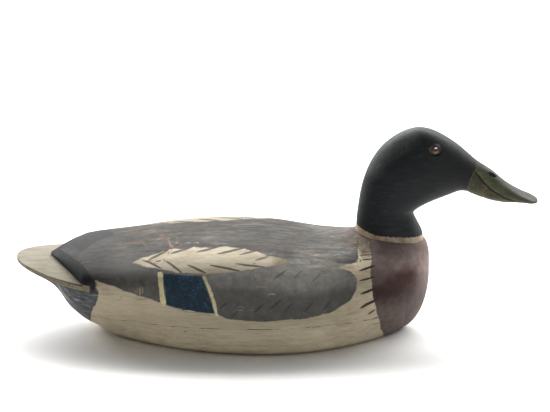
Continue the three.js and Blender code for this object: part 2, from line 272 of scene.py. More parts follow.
def hullSections(x, onStep):
    # half sections at every station: dome, tail shelf, tail rim, belly, underside.
    # Each place is x, y, z and its row: 1 dome, 2 shelf, 3 rim, 4 belly and underside
    x = x[:, None]
    onStep = onStep[:, None]
    width = planHalfWidth(x)
    blend = smoothStep((x - hull["tailRoot"]) / hull["sideBlend"])
    alongTail = np.clip((x - hull["tailTip"]) / (hull["tailRoot"] - hull["tailTip"]), 0, 1)
    thickness = mix(hull["tailEdge"], hull["rootEdge"], alongTail)
    widest = widestLine(x - hull["tailTip"])
    edgeTop = mix(tailSurface(width), widest, blend)
    edgeBottom = mix(tailSurface(width) - thickness, widest, blend)
    backWidth = stepHalfWidth(x)
    pastTail = backWidth >= width
    domeEdge = np.where(pastTail, edgeTop, tailSurface(backWidth))

    angle = np.linspace(0, math.pi / 2, hull["domeSteps"] + 1)[None, :]
    power = 2 / backFullness(x - hull["tailTip"])
    across = np.sin(angle) ** power
    share = np.where(angle > quarterTurn, 0, np.abs(np.cos(angle)) ** power)
    stepTop = domeEdge + np.where(onStep, hull["stepHeight"] * (1 - blend), 0)
    rise = np.where(onStep, np.maximum(0, ridgeHeight(x) - stepTop), 0)
    domeY = backWidth * across
    collar = np.where(onStep, collarHeight(x, domeY), 0)
    domeZ = stepTop + (rise + collar) * share

    t = np.linspace(0, 1, hull["shelfSteps"] + 1)[None, :]
    shelfY = mix(backWidth, width, t)
    shelfZ = np.where(pastTail, edgeTop, tailSurface(shelfY))

    t = np.linspace(0, 1, hull["rimSteps"] + 2)[None, 1:-1]
    rimY = width + 0 * t
    rimZ = mix(edgeTop, edgeBottom, t)

    keel = np.minimum(keelHeight(x), edgeBottom)
    foot = np.minimum(footHalfWidth(x), width)
    corner = np.minimum(hull["lowerEdge"], foot)
    roundness = mix(hull["endRoundness"], hull["middleRoundness"], smoothStep(foot / hull["flaredFrom"]))
    angle = np.linspace(0, math.pi / 2, hull["bellySteps"] + 1)[None, :]
    share = np.where(angle > quarterTurn, 0, 1 - np.sin(angle))
    drop = (edgeBottom - keel) * share
    flare = np.where(share == 0, 0, mix(smoothStep(share), np.cos(angle), roundness))
    inset = corner - np.sqrt(corner**2 - np.maximum(0, corner - drop) ** 2)
    bellyY = np.maximum(0, foot + (width - foot) * flare - inset)
    bellyZ = keel + drop

    t = np.linspace(0, 1, hull["underSteps"] + 1)[None, 1:]
    underY = mix(bellyY[:, -1:], 0, t)
    underZ = keel + 0 * t

    y = np.concatenate([domeY, shelfY, rimY, bellyY, underY], axis=1)
    z = np.concatenate([domeZ, shelfZ, rimZ, bellyZ, underZ], axis=1)
    counts = [domeY.shape[1], shelfY.shape[1], rimY.shape[1], bellyY.shape[1] + underY.shape[1]]
    row = np.repeat([1.0, 2.0, 3.0, 4.0], counts)[None, :]
    half = np.stack([x + 0 * y, y, z, row + 0 * y], axis=2)
    other = half[:, -2:0:-1] * [1, -1, 1, 1]
    return np.concatenate([half, other, half[:, :1]], axis=1)


def hullMesh():
    share = np.linspace(0, 1, hull["stations"] + 1)
    crowded = mix(share, (1 - np.cos(math.pi * share)) / 2, hull["crowding"])
    x = mix(hull["tailTip"], hull["breastFront"], crowded)
    tail = np.append(x[x < hull["stepPoint"]], hull["stepPoint"])
    rest = np.append(hull["stepPoint"], x[x > hull["stepPoint"]])
    stations = np.concatenate([tail, rest])
    onStep = np.concatenate([np.zeros(len(tail), bool), np.ones(len(rest), bool)])
    bm = gridSkin(hullSections(stations, onStep))

    # worn rim and step edges: softened where the rows turn a corner
    row = bm.verts.layers.float["row"]
    tail = [v for v in bm.verts if v.co.x < hull["softenedTo"]]
    nearEdge = [abs(abs(v.co.y) - planHalfWidth(v.co.x)) < hull["edgeReach"] for v in tail]
    rim = [v for v, near in zip(tail, nearEdge) if v[row] == 3 or (v[row] > 1.5 and near)]
    everyWay = {"use_axis_x": True, "use_axis_y": True, "use_axis_z": True}
    for turn in range(2):
        bmesh.ops.smooth_vert(bm, verts=rim, factor=hull["softening"], **everyWay)
    flatTo, carvedFrom = hull["flatTo"], hull["carvedFrom"]
    carveUneven(
        bm, hull["unevenness"], hull["grain"],
        lambda place: float(smoothStep((carvedFrom - place.z) / (carvedFrom - flatTo))),
    )

    # the neck's seat, pressed a little smaller than the neck's foot so that no gap shows
    for v in bm.verts:
        plane = seatHeight(v.co.x)
        if v.co.z > plane and seatReach(v.co.x, v.co.y, neckSeat["inset"]) < 1:
            v.co.z = plane
    return bm


bodyMesh = hullMesh()
boardMesh = bodyMesh.copy()
cutFlat(bodyMesh, hull["seam"] + hull["seamGap"], (0, 0, -1))
cutFlat(boardMesh, hull["seam"], (0, 0, 1))
bodyCarving = finishedPiece(bodyMesh, "body_carving", "body")
boardCarving = finishedPiece(boardMesh, "board_carving", "bottom_board")


# ribs of the head, neck and bill: back x and z, front x and z, half width, fullness, lean
headRibs = np.array([
    (65, 85.2, 122.3, 75.2, 25.5, 2.1, 0),
    (65.6, 90, 120.4, 84.5, 23.5, 2.1, 0),
    (66.4, 101, 113.8, 98.5, 21.3, 2.1, 0),
    (69, 118.5, 115.8, 103, 20.8, 2.1, 0),
    (72.2, 131, 124.2, 108, 21, 2.15, -0.02),
    (77.5, 143.8, 133, 112, 21.6, 2.2, -0.05),
    (86, 156, 141, 115, 22, 2.2, -0.08),
    (96.5, 165, 146.5, 117.2, 21.8, 2.2, -0.1),
    (107, 170.6, 150.2, 118.5, 21.2, 2.2, -0.1),
    (116.5, 172.6, 153, 118.8, 20, 2.2, -0.1),
    (126.5, 171, 155.2, 118.6, 18.6, 2.2, -0.1),
    (137, 166.2, 157.3, 118.2, 17, 2.2, -0.1),
    (148, 159, 159.6, 117, 15.2, 2.2, -0.1),
    (156, 152.3, 162, 115.9, 13.6, 2.2, -0.1),
    (164, 145.2, 166, 114.2, 12.2, 2.2, -0.1),
    (171.5, 140, 171.6, 112.3, 11.4, 2.2, -0.08),
    (179, 134.8, 178.4, 110.2, 11, 2.2, -0.05),
    (189, 126, 188, 108.8, 11, 2.3, 0),
    (201, 118.4, 200.4, 108.9, 11.8, 2.5, 0),
    (209.5, 114.3, 208.6, 108.4, 11.6, 2.6, 0),
    (213.6, 112.2, 213, 108.4, 9, 2.6, 0),
    (215.5, 111, 215.2, 108.7, 5, 2.4, 0),
    (216, 109.9, 216, 109.9, 0, 2.2, 0),
], float)

# where the two halves of the bill meet, as x and z
mouthLine = [(161.5, 138.6), (167, 133), (171, 128), (176, 123), (181, 119.6), (188, 115.3), (196, 113)]

head = {
    "stepsPerRib": 12,
    "around": 200,
    "unevenness": 0.4,
    "grain": 17,
    "billFrom": 150,
    "billTurn": 20,
    "billSmoothness": 0.75,
    "grooves": [  # along both sides of the bill, as x, z of its points, then width and depth
        (mouthLine + [(201, 112.6)], 0.55, 0.75),
        ([(177, 127.4), (182, 122.6), (187, 119), (194, 115.6)], 0.5, 0.3),
    ],
    "grooveStart": 0.06,
    "grooveEnd": 0.25,
    "bead": {"share": 0.3, "off": 1.5, "width": 0.6},  # above each groove
    "nostril": {
        "at": (177.3, 133.8), "slope": -30, "length": 7.6, "height": 2.4, "depth": 1.8, "inside": 2.5,
    },
}

eye = {
    "at": (129.9, 14.7, 157.7),
    "up": 14,
    "forward": 10,
    "radius": 4.5,
    "bulge": 1.8,
    "depth": 3.2,
    "lidHeight": 1.55,
    "socket": 0.9,
}


def eyeMiddle(side):
    x, y, z = eye["at"]
    return (x, side * y, z)


def eyeAxis(side):
    up, forward = math.radians(eye["up"]), math.radians(eye["forward"])
    return Vector((math.sin(forward) * math.cos(up), side * math.cos(forward) * math.cos(up), math.sin(up)))


headPaint = {
    "bill": [
        (164.4, 149), (163.3, 140), (160.5, 136), (157.8, 128.5), (155.5, 121), (153, 114), (150, 106),
        (232, 100), (232, 150),
    ],
    "mandible": mouthLine + [(203, 112.2), (210, 104), (190, 102), (150, 104), (148, 116), (156, 132)],
    "grooveHalfWidth": 0.75,
    # the crown's worn paint and painted sheen lie along this line
    "crown": [(78, 142), (82, 149), (89, 157), (98, 163.5), (108, 168)],
    "crownHalfWidth": 7.5,
    "wear": [  # bare wood on the bill: points and half width
        ([(161.8, 137.4), (160.4, 134.6), (159.1, 131.4)], 0.55),
        ([(164.5, 138.2), (169.5, 133.2), (174, 128.4), (180, 123.6)], 0.3),
        ([(160, 116.6), (166, 114.2), (178, 110.4), (188, 109.2), (200, 109.2)], 1.1),
    ],
    "lid": {"back": 5.6, "front": 4.3, "height": 4.1, "opening": 2.9},
    "ringTop": [(66, 6), (73, 4.8), (82, 3.9), (90, 5), (101, 6.1), (118, 6.7)],
    "ringFoot": [(66, -1), (92, -1), (106, 1.5), (118, 2)],
}


def eyePlane(places, side):
    # distances forward, up and out from the middle of an eye
    axis = np.array(eyeAxis(side))
    upwards = np.array((0, 0, 1)) - axis[2] * axis
    upwards /= np.linalg.norm(upwards)
    forwards = np.cross(axis, upwards) * side
    offset = places - np.array(eyeMiddle(side))
    return offset @ forwards, offset @ upwards, offset @ axis


def lidEdge(ahead, up):
    # 1 on the outer edge of the almond-shaped lid, less inside it
    lid = headPaint["lid"]
    return np.sqrt((ahead / np.where(ahead < 0, lid["back"], lid["front"])) ** 2 + (up / lid["height"]) ** 2)


def distanceToLine(points, line):
    # distance from each point to a line of joined points, and how far along the line it is, from 0 to 1
    line = np.array(line, float)
    lengths = np.linalg.norm(np.diff(line, axis=0), axis=1)
    walked = np.concatenate([[0], np.cumsum(lengths)])
    best = np.full(len(points), 1e9)
    along = np.zeros(len(points))
    across = np.zeros(len(points))
    for a, b, start, length in zip(line[:-1], line[1:], walked[:-1], lengths):
        direction = (b - a) / length
        offset = points - a
        t = offset @ direction
        inside = np.clip(t, 0, length)
        gap = np.linalg.norm(offset - inside[:, None] * direction, axis=1)
        side = offset[:, 0] * direction[1] - offset[:, 1] * direction[0]
        low = -1e9 if start == 0 else 0
        high = 1e9 if b is line[-1] or start + length >= walked[-1] - 1e-6 else length
        nearer = gap < best
        best = np.where(nearer, gap, best)
        along = np.where(nearer, (start + np.clip(t, low, high)) / walked[-1], along)
        across = np.where(nearer, side, across)
    return best, along, across


def nostrilReach(profile):
    # 1 on the outline of the nostril, less inside it
    nostril = head["nostril"]
    slope = math.radians(nostril["slope"])
    ahead = (profile - nostril["at"]) @ (math.cos(slope), math.sin(slope)) / nostril["length"]
    above = (profile - nostril["at"]) @ (-math.sin(slope), math.cos(slope)) / nostril["height"]
    return 2 * np.hypot(ahead, above)


def headMesh():
    count = len(headRibs) - 1
    at = np.linspace(0, count, count * head["stepsPerRib"] + 1)
    numbers = np.arange(count + 1)
    columns = [battenCurve(list(zip(numbers, headRibs[:, k])))(at)[:, None] for k in range(7)]
    backX, backZ, frontX, frontZ, halfWidth, fullness, lean = columns
    angle = np.linspace(0, 2 * math.pi, head["around"] + 1)[None, :]
    side = np.sign(np.sin(angle)) * np.abs(np.sin(angle)) ** (2 / fullness)
    x = (backX + frontX) / 2 + (backX - frontX) / 2 * np.cos(angle)
    z = (backZ + frontZ) / 2 + (backZ - frontZ) / 2 * np.cos(angle) + neckSeat["lift"]
    y = side * halfWidth * (1 + lean * np.cos(angle))
    y[:, -1] = y[:, 0] = 0
    rows = np.stack([x, y, z, np.repeat(at[:, None], y.shape[1], 1)], axis=2)
    foot = np.repeat(rows[:1, :-1].mean(axis=1, keepdims=True), rows.shape[1], axis=1)
    return gridSkin(np.concatenate([foot, rows]))


def carveHeadDetails(bm):
    bm.normal_update()
    verts = bm.verts[:]
    places = np.array([v.co for v in verts])
    sunk = np.zeros(len(verts))
    profile = places[:, [0, 2]]
    bead = head["bead"]
    for line, width, depth in head["grooves"]:
        gap, along, across = distanceToLine(profile, line)
        ends = smoothStep(along / head["grooveStart"]) * smoothStep((1 - along) / head["grooveEnd"])
        sideOnly = smoothStep((np.abs(places[:, 1]) - 3) / 3)
        raised = bead["share"] * depth * np.exp(-(((gap - bead["off"]) / bead["width"]) ** 2))
        sunk += (depth * np.exp(-((gap / width) ** 2)) - raised * (across > 0)) * ends * sideOnly
    bowl = np.sqrt(np.clip(1 - nostrilReach(profile) ** 2, 0, 1))
    sunk += head["nostril"]["depth"] * bowl * (np.abs(places[:, 1]) > head["nostril"]["inside"])
    for vert, depth in zip(verts, sunk):
        vert.co -= vert.normal * depth
    # eye sockets, with a low putty lid that holds the glass
    for side in (-1, 1):
        axis = eyeAxis(side)
        near = [v for v in verts if abs(v.co.x - eye["at"][0]) < 9 and v.co.y * side > 5]
        near = [v for v in near if abs(v.co.z - eye["at"][2]) < 8]
        ahead, up, out = eyePlane(np.array([v.co for v in near]), side)
        reach = np.hypot(ahead, up)
        edge = lidEdge(ahead, up)
        opening = headPaint["lid"]["opening"]
        inward = (reach - opening) / np.maximum(0.3, reach / np.maximum(edge, 0.01) - opening)
        lidTop = eye["lidHeight"] - 0.5 * inward
        for v, r, e, o, top in zip(near, reach, edge, out, lidTop):
            if r < opening:
                v.co += axis * (min(o, -eye["socket"]) - o) * float(smoothStep((opening - r) / 0.35))
            elif e < 1.25:
                v.co += axis * (top - o) * float(smoothStep((1.25 - e) / 0.3))


headBlock = headMesh()
carveUneven(
    headBlock, head["unevenness"], head["grain"],
    lambda place: float(smoothStep((place.x - head["billFrom"]) / head["billTurn"])) * head["billSmoothness"],
)
carveHeadDetails(headBlock)
headCarving = finishedPiece(headBlock, "head_carving", "head", crease=50)


def eyeButton(side, name, node):
    # a glass dome with a short straight side, turned to look outwards
    bm = bmesh.new()
    bmesh.ops.create_uvsphere(bm, u_segments=40, v_segments=24, radius=1)
    whole = bm.verts[:] + bm.edges[:] + bm.faces[:]
    bmesh.ops.bisect_plane(
        bm, geom=whole, dist=1e-5, plane_co=(0, 0, 0), plane_no=(0, 0, -1), clear_outer=True
    )
    bmesh.ops.scale(bm, vec=(eye["radius"], eye["radius"], eye["bulge"]), verts=bm.verts)
    rim = [e for e in bm.edges if e.is_boundary]
    skirt = bmesh.ops.extrude_edge_only(bm, edges=rim)["geom"]
    down = [v for v in skirt if isinstance(v, bmesh.types.BMVert)]
    bmesh.ops.translate(bm, vec=(0, 0, -eye["depth"]), verts=down)
    bmesh.ops.holes_fill(bm, edges=[e for e in bm.edges if e.is_boundary], sides=0)
    turn = Vector((0, 0, 1)).rotation_difference(eyeAxis(side)).to_matrix()
    bmesh.ops.rotate(bm, cent=(0, 0, 0), matrix=turn, verts=bm.verts)
    bmesh.ops.translate(bm, vec=eyeMiddle(side), verts=bm.verts)
    bmesh.ops.recalc_face_normals(bm, faces=bm.faces)
    return finishedPiece(bm, name, node, crease=50)


rightEye = eyeButton(-1, "right_eye_button", "right_eye")
leftEye = eyeButton(1, "left_eye_button", "left_eye")


# outlines of the paint as x and the height as it looks from 17 degrees above, the same on both sides
bodyPaint = {
    "lookDown": 17,
    "farShift": -3.5,  # the left side's feather patch lies this much nearer the ridge
    "rearEnds": {"grayCoat": -146, "rumpBand": -135, "rumpLobe": -100, "tail": -153, "rimLine": -158},
    "none": -9,  # where a line isn't laid
    "bandLength": 8,  # of the dark band on the rump, from the step forwards
    "rimLineInset": 0.3,
    "rimLineHalfWidth": 0.95,
    "patch": [
        (-119, 54.1), (-110, 57.7), (-94, 62.7), (-88, 64.7), (-73, 65.8), (-68, 66.8), (-52, 66.6),
        (-43, 67.1), (-32, 66), (-20, 64.3), (-10, 61.2), (-7, 59.6), (3, 59), (8, 56.8), (9, 54.7),
        (5, 52.9), (-2, 52.4), (-8, 51.1), (-18, 49.5), (-29, 47.5), (-47, 46), (-57, 45.4), (-67, 45.6),
        (-76, 45.9), (-83, 46.4), (-93, 49.2), (-100, 50.5), (-109, 52),
    ],
    "outlines": {
        "grayCoat": [
            (-148, 39.8), (-134, 35.5), (-113, 27.7), (-94, 21.8), (-87, 18.9), (-68, 14.9), (-51, 13),
            (-38, 8.9), (-24, 7), (-10, 6.6), (4, 7.5), (19, 8.3), (30, 10.5), (44, 13.8), (53, 18.9),
            (61, 25.5), (65, 32.2), (65.7, 38.9), (64.4, 42.2), (62, 45.3), (57.3, 48.4), (51.5, 50.3),
            (57, 52.2), (62, 53.6), (67, 56), (66.5, 61), (66.8, 66), (67.4, 69.9), (68, 73.6), (66, 79),
            (80, 95), (-230, 95), (-230, 58), (-209, 57), (-190, 48), (-177, 44), (-165, 42), (-156, 40.6),
        ],
        "undertail": [
            (-148, 39.8), (-146, 35.5), (-145, 28.9), (-146, 24.5), (-148, 20.2), (-152, 13.7), (-154, 6.9),
            (-154, -8), (-240, -8), (-240, 76), (-209, 60), (-190, 52), (-165, 42),
        ],
        "breast": [
            (64, 78), (71, 74.4), (76, 71), (76.8, 64), (77.5, 55.4), (76.5, 46), (77.5, 36), (78.5, 26),
            (81.5, 17), (83.8, 8), (86, -1), (89, -8), (92, -14), (96, -40), (150, -40), (150, 95), (64, 95),
        ],
        "blueBlock": [
            (-92, 45.6), (-61, 44), (-57.5, 35), (-54.5, 25.8), (-50.5, 12.9), (-68, 14.7), (-78, 17.2),
            (-89, 20.1),
        ],
        "barBehind": [(-97, 46.8), (-93, 46.8), (-90, 19.3), (-94, 19.2)],
        "barAhead": [
            (-61, 44), (-58, 44), (-53.5, 34.9), (-50.5, 25.8), (-46.5, 10.7), (-50, 10.7), (-53.5, 25.8),
            (-57, 34.9),
        ],
        "domeCoat": [  # the same coat on top of the rump, down to the step
            (-148, 39.8), (-147, 28), (-250, 28), (-250, 95), (-140, 95), (-134, 35.5),
        ],
        "brownShoulder": [
            (57, 77), (65, 81), (74, 79), (78, 73), (77, 62), (70, 60.5), (67, 64), (61, 69), (54, 73),
        ],
        "redBreast": [
            (74, 35), (84, 39), (96, 44.5), (107, 51), (115, 51), (116, 39), (110, 30), (102, 25), (93, 22.5),
            (84, 21.5), (74, 21),
        ],
        "blackRoot": [
            (-152.5, 40.5), (-149.5, 42.5), (-146.8, 41), (-146.2, 36), (-147.2, 31), (-150, 29.5),
            (-152.5, 32), (-153.5, 36),
        ],
    },
}

# the dark lobe on top of the rump, in plan
rumpLobe = [
    (-181, 2), (-171, -4), (-166, -9.5), (-164, -17), (-160.4, -21.5), (-156, -15.5), (-150.5, -5),
    (-143, 3.5), (-137, 6.5), (-134.6, 11), (-136, 18), (-139.7, 30), (-146, 38), (-160, 36), (-172, 24),
]

# brush strokes on both sides: half width in mm, tone (0 patch, 1 wing, 2 breast, 3 shoulder, 4 blue edge),
# cover, then the x and height of each point
strokes = [
    (1.23, 0, 0.9, -105, 56.4, -88, 64.7), (1.23, 0, 0.9, -87, 61.4, -68, 67.1),
    (1.18, 0, 0.9, -66, 62.7, -47, 67.3), (1.23, 0, 0.9, -49, 61.5, -25, 66.4),
    (1.18, 0, 0.85, -31, 60.9, -11, 65.3), (1.18, 0, 0.7, -18, 56, -6, 59.9),
    (1.23, 0, 0.9, -110, 56.4, -103, 54.2, -93, 49), (0.95, 0, 0.8, -99, 55.1, -94, 56.2),
    (1.29, 0, 0.9, -91, 56, -86, 53.1, -77, 46.4), (1.29, 0, 0.9, -73, 52.9, -66, 50.1, -57, 45.7),
    (1.29, 0, 0.9, -55, 52.7, -41, 50.1, -29, 47.5), (1.18, 0, 0.85, -34, 53.6, -18, 51.9, -9, 50.8),
    (1.1, 2, 0.66, 67.5, 60, 79, 60.9), (1.03, 2, 0.94, 69.5, 56.6, 79, 57.3),
    (1.23, 2, 0.99, 67, 47.6, 73, 49.3, 80, 51.8), (1.13, 2, 0.94, 67, 39.4, 80, 42.7),
    (1.33, 2, 1.0, 68, 28.6, 81, 33.6), (1.48, 2, 1.0, 68, 17, 74, 20.5, 83, 24.6),
    (1.03, 2, 0.94, 74.5, 12, 81, 16.1), (0.84, 2, 0.55, 77.5, 7, 83.5, 10.3),
    (0.84, 2, 0.55, 78.5, 2.6, 84.5, 4.8), (1.26, 1, 0.67, -46.5, 17, -39.5, 22.6),
    (1.26, 1, 0.59, -36.5, 10.4, -31, 15.4), (1.36, 1, 0.67, -18.5, 14.4, -10.5, 21),
    (1.46, 1, 0.73, -5.5, 16.8, 3.5, 24.4), (1.26, 1, 0.59, 5.5, 13.8, 13.5, 22.2),
    (1.26, 1, 0.59, 22.5, 14.4, 29.5, 22.6), (1.26, 1, 0.59, 37.5, 15.8, 44.5, 23.8),
    (1.36, 1, 0.5, -2.5, 41, 8.5, 49.3), (1.36, 1, 0.42, 14.5, 42, 20.5, 48),
    (1.46, 1, 0.29, 28, 38, 36, 46), (1.46, 1, 0.34, -130, 45, -122, 38),
    (1.46, 1, 0.34, -112, 41, -106, 34), (1.55, 3, 0.8, 48, 54.6, 66.5, 55.2),
    (1.45, 3, 0.45, 46, 59.4, 64, 60.2), (4.2, 3, 0.6, 46, 77.5, 56, 79.8, 67, 80.8),
    (1.8, 3, 0.3, 50, 74, 64, 75.5), (1.45, 3, 0.35, 52, 66, 64, 67),
    (0.8, 4, 0.6, -89.4, 20, -74.5, 14.9, -52, 13.4),
]

# marks of age on the right side only, listed alike: tone 0 rust, 1 white, 2 bare wood, 3 dark
marks = [
    (0.5, 1, 0.75, -99.4, 72.9, -97.3, 73.4), (0.45, 1, 0.7, -95.8, 73.5, -93.9, 73.8),
    (0.45, 1, 0.7, -89.9, 73.6, -87.9, 73.8), (0.5, 1, 0.7, -83.8, 69.6, -81.4, 70.2),
    (0.5, 1, 0.65, -75.4, 70, -72.9, 70.6, -69.7, 70.3), (0.5, 1, 0.65, -67, 70.2, -63.8, 70.6),
    (1.3, 0, 0.85, -88.6, 71.5, -87.2, 68.8, -85.6, 66), (1.3, 0, 0.25, -96.5, 78.5, -89.5, 71.6),
    (1.5, 0, 0.2, -112.5, 73, -106, 65), (1.3, 0, 0.2, -83.2, 75.7, -78.4, 66.7),
    (1.0, 2, 0.8, -7.5, 28.3, -4.6, 29.3, -0.2, 28.8), (0.75, 2, 0.6, -17.8, 34, -12.7, 35, -7, 35.2),
    (0.85, 0, 0.8, 12.4, 31.6, 18, 32.4), (1.1, 0, 0.45, -19.6, 43.6, -16.4, 40.4),
    (0.5, 1, 0.6, -32.6, 17.1, -31.5, 18.3, -29.4, 18.8, -27.2, 18.3, -26, 17),
    (0.5, 1, 0.6, -32.6, 16.9, -31.6, 15.7, -29.4, 15.2, -27.2, 15.7, -26, 16.8),
    (0.55, 1, 0.45, -22.2, 16.5, -17.4, 16.1), (1.1, 2, 0.7, -111.8, 34.4, -111.1, 26.8),
    (0.9, 2, 0.7, -109.2, 34.8, -108.8, 28.8), (0.75, 2, 0.4, -115.6, 34, -114.4, 28.4),
    (0.85, 3, 0.9, -75.2, -1.9, -74, -2.2), (1.3, 0, 0.4, -127.2, 26.8, -125.6, 26),
    (1.3, 1, 0.4, -180, 37, -176, 30, -170, 23), (0.9, 1, 0.25, -176, 36, -168, 27),
    (0.9, 1, 0.25, -171, 20, -163, 11), (1.0, 3, 0.9, -183.5, 60.5, -181.5, 61),
    (0.5, 3, 0.35, -36, 5.6, -28, 4.9), (1.7, 2, 0.5, 54, 51, 63.5, 50.4),
]


def insideDistance(points, outline):
    # millimetres inside (+) or outside (-) a closed outline
    closed = np.array(list(outline) + [outline[0]], float)
    gap = distanceToLine(points, closed)[0]
    inside = np.zeros(len(points), bool)
    for (ax, ay), (bx, by) in zip(closed[:-1], closed[1:]):
        crosses = (ay > points[:, 1]) != (by > points[:, 1])
        safe = by - ay if by != ay else 1
        inside ^= crosses & (points[:, 0] < ax + (points[:, 1] - ay) * (bx - ax) / safe)
    return np.where(inside, gap, -gap)


def placesAndRows(mesh):
    # where every vertex is, in mm, and its row, which the finished mesh has no more use for
    places = np.zeros(len(mesh.vertices) * 3)
    mesh.vertices.foreach_get("co", places)
    row = np.zeros(len(mesh.vertices))
    mesh.attributes["row"].data.foreach_get("value", row)
    mesh.attributes.remove(mesh.attributes["row"])
    return places.reshape(-1, 3) * 1000, row


def keepOnMesh(mesh, kind, field, layers):
    for name, values in layers.items():
        layer = mesh.attributes.new(name, kind, "POINT")
        layer.data.foreach_set(field, values.astype(np.float32).ravel())


def layPaintLines(piece):
    mesh = piece.data
    places, row = placesAndRows(mesh)
    x, y, z = places.T
    down = math.radians(bodyPaint["lookDown"])
    height = math.cos(down) * z - math.sin(down) * np.abs(y)
    side = np.stack([x, height], axis=1)
    shifted = np.stack([x, np.where(y > 0, height + bodyPaint["farShift"], height)], axis=1)
    lines = {name: insideDistance(side, outline) for name, outline in bodyPaint["outlines"].items()}
    lines["patch"] = insideDistance(shifted, bodyPaint["patch"])
    domeCoat = lines.pop("domeCoat")
    rear, none = bodyPaint["rearEnds"], bodyPaint["none"]
    onDome = (row < rowEnd["dome"]) & (x >= hull["stepPoint"] - 0.3)
    coat = np.where(~onDome & (x < rear["grayCoat"]), np.minimum(lines["grayCoat"], -2), lines["grayCoat"])
    lines["grayCoat"] = np.where(onDome, np.maximum(coat, domeCoat), coat)
    lines["undertail"] = np.where(onDome, -2, lines["undertail"])
    stepX = hull["stepPoint"] + hull["stepSpan"] * (np.abs(y) / hull["stepSpread"]) ** (1 / hull["stepCurve"])
    band = 0.8 * (bodyPaint["bandLength"] - (x - stepX))
    lines["rumpBand"] = np.where(onDome & (x < rear["rumpBand"]), band, none)
    lobe = insideDistance(places[:, :2], rumpLobe)
    lines["rumpLobe"] = np.where(onDome & (x < rear["rumpLobe"]), lobe, none)
    onTail = ~onDome & (row < rowEnd["rim"]) & (x < rear["tail"])
    lines["tailTop"] = np.where(onTail, 0.5 + 0.4 * (np.abs(y) - stepHalfWidth(x)), -1.2)
    toRim = planHalfWidth(x) - np.abs(y)
    onRim = (row > rowEnd["shelf"]) & (row < rowEnd["rim"])
    lines["tailRim"] = np.where(onTail, np.where(onRim, 0, -0.5 * toRim), none)
    rimLine = bodyPaint["rimLineHalfWidth"] - np.abs(toRim - bodyPaint["rimLineInset"])
    rimLine = np.where(onRim, rimLine - 3, rimLine)
    lines["tailRimLine"] = np.where(onTail & (x < rear["rimLine"]), rimLine, none)
    keepOnMesh(mesh, "FLOAT", "value", lines)

    farAway = 999
    rightSide = np.where((y < 6)[:, None], side, side + farAway)
    for label, drawn in (("stroke", strokes), ("mark", marks)):
        near = np.full(len(x), 1e9)
        place = np.zeros((len(x), 3))
        style = np.zeros((len(x), 3))
        for halfWidth, tone, cover, *points in drawn:
            on = rightSide if label == "mark" else shifted if tone == 0 else side
            gap, along, across = distanceToLine(on, np.reshape(points, (-1, 2)))
            nearer = gap < near
            near = np.where(nearer, gap, near)
            place[nearer] = np.stack([across, along, gap], axis=1)[nearer]
            style[nearer] = (halfWidth, tone, cover)
        keepOnMesh(mesh, "FLOAT_VECTOR", "vector", {label + "Place": place, label + "Style": style})


def layHeadLines(piece):
    places = placesAndRows(piece.data)[0]
    x, y, z = places.T
    profile = places[:, [0, 2]]
    lines = {name: insideDistance(profile, headPaint[name]) for name in ("bill", "mandible")}
    gap, along = distanceToLine(profile, head["grooves"][0][0])[:2]
    lines["crown"] = headPaint["crownHalfWidth"] - distanceToLine(profile, headPaint["crown"])[0]
    lines["groove"] = np.where(np.abs(y) > 3, headPaint["grooveHalfWidth"] * (1.1 - 0.7 * along) - gap, -2)
    wear = [halfWidth - distanceToLine(profile, line)[0] for line, halfWidth in headPaint["wear"]]
    lines["billWear"] = np.max(wear, axis=0)
    lines["nostril"] = np.where(np.abs(y) > head["nostril"]["inside"], 1 - nostrilReach(profile), -2)
    seat = seatHeight(x)
    top = np.interp(x, *zip(*headPaint["ringTop"]))
    bottom = np.interp(x, *zip(*headPaint["ringFoot"]))
    lines["neckRing"] = np.minimum(top - (z - seat), (z - seat) - bottom)
    lid = np.full(len(x), -2.0)
    for side in (-1, 1):
        ahead, up, out = eyePlane(places, side)
        lid = np.maximum(lid, np.where(np.abs(out) < 5, 4.2 * (1 - lidEdge(ahead, up)), -2))
    lines["eyelid"] = lid
    keepOnMesh(piece.data, "FLOAT", "value", lines)


layPaintLines(bodyCarving)
layPaintLines(boardCarving)
layHeadLines(headCarving)
print("paint lines laid")


# materials
def linearColour(hexCode):
    parts = [int(hexCode[i : i + 2], 16) / 255 for i in (1, 3, 5)]
    return tuple(c / 12.92 if c <= 0.04045 else ((c + 0.055) / 1.055) ** 2.4 for c in parts) + (1,)


def addNode(tree, kind, inputs=(), stops=None, **settings):
    # adds a node, or the Math node for an operation, sets or links its inputs, which are listed in order
    # or by name, and gives back its first live output
    node = tree.nodes.new("ShaderNode" + ("Math" if kind.isupper() else kind))
    if kind.isupper():
        node.operation = kind
    for name, value in settings.items():
        setattr(node, name, value)
    live = [socket for socket in node.inputs if socket.enabled]
    for key, value in inputs.items() if isinstance(inputs, dict) else enumerate(inputs):
        socket = live[key] if isinstance(key, int) else next(s for s in live if s.name == key)
        if isinstance(value, bpy.types.NodeSocket):
            tree.links.new(value, socket)
        else:
            socket.default_value = linearColour(value) if isinstance(value, str) else value
    if stops:
        ramp = node.color_ramp
        while len(ramp.elements) < len(stops):
            ramp.elements.new(0.5)
        for element, (position, colour) in zip(ramp.elements, stops):
            element.position = position
            element.color = linearColour(colour)
    return next((output for output in node.outputs if output.enabled), None)


def newMaterial(name):
    material = bpy.data.materials.new(name)
    material.use_nodes = True
    tree = material.node_tree
    tree.nodes.clear()
    return material, tree


eased = {"interpolation_type": "SMOOTHSTEP"}


def millimetres(tree):
    # places on the piece in mm, and their x, y and z
    addNode(tree, "TexCoord")
    mm = addNode(tree, "VectorMath", [tree.nodes[-1].outputs["Object"], 1000.0], operation="SCALE")
    addNode(tree, "SeparateXYZ", [mm])
    return mm, *tree.nodes[-1].outputs


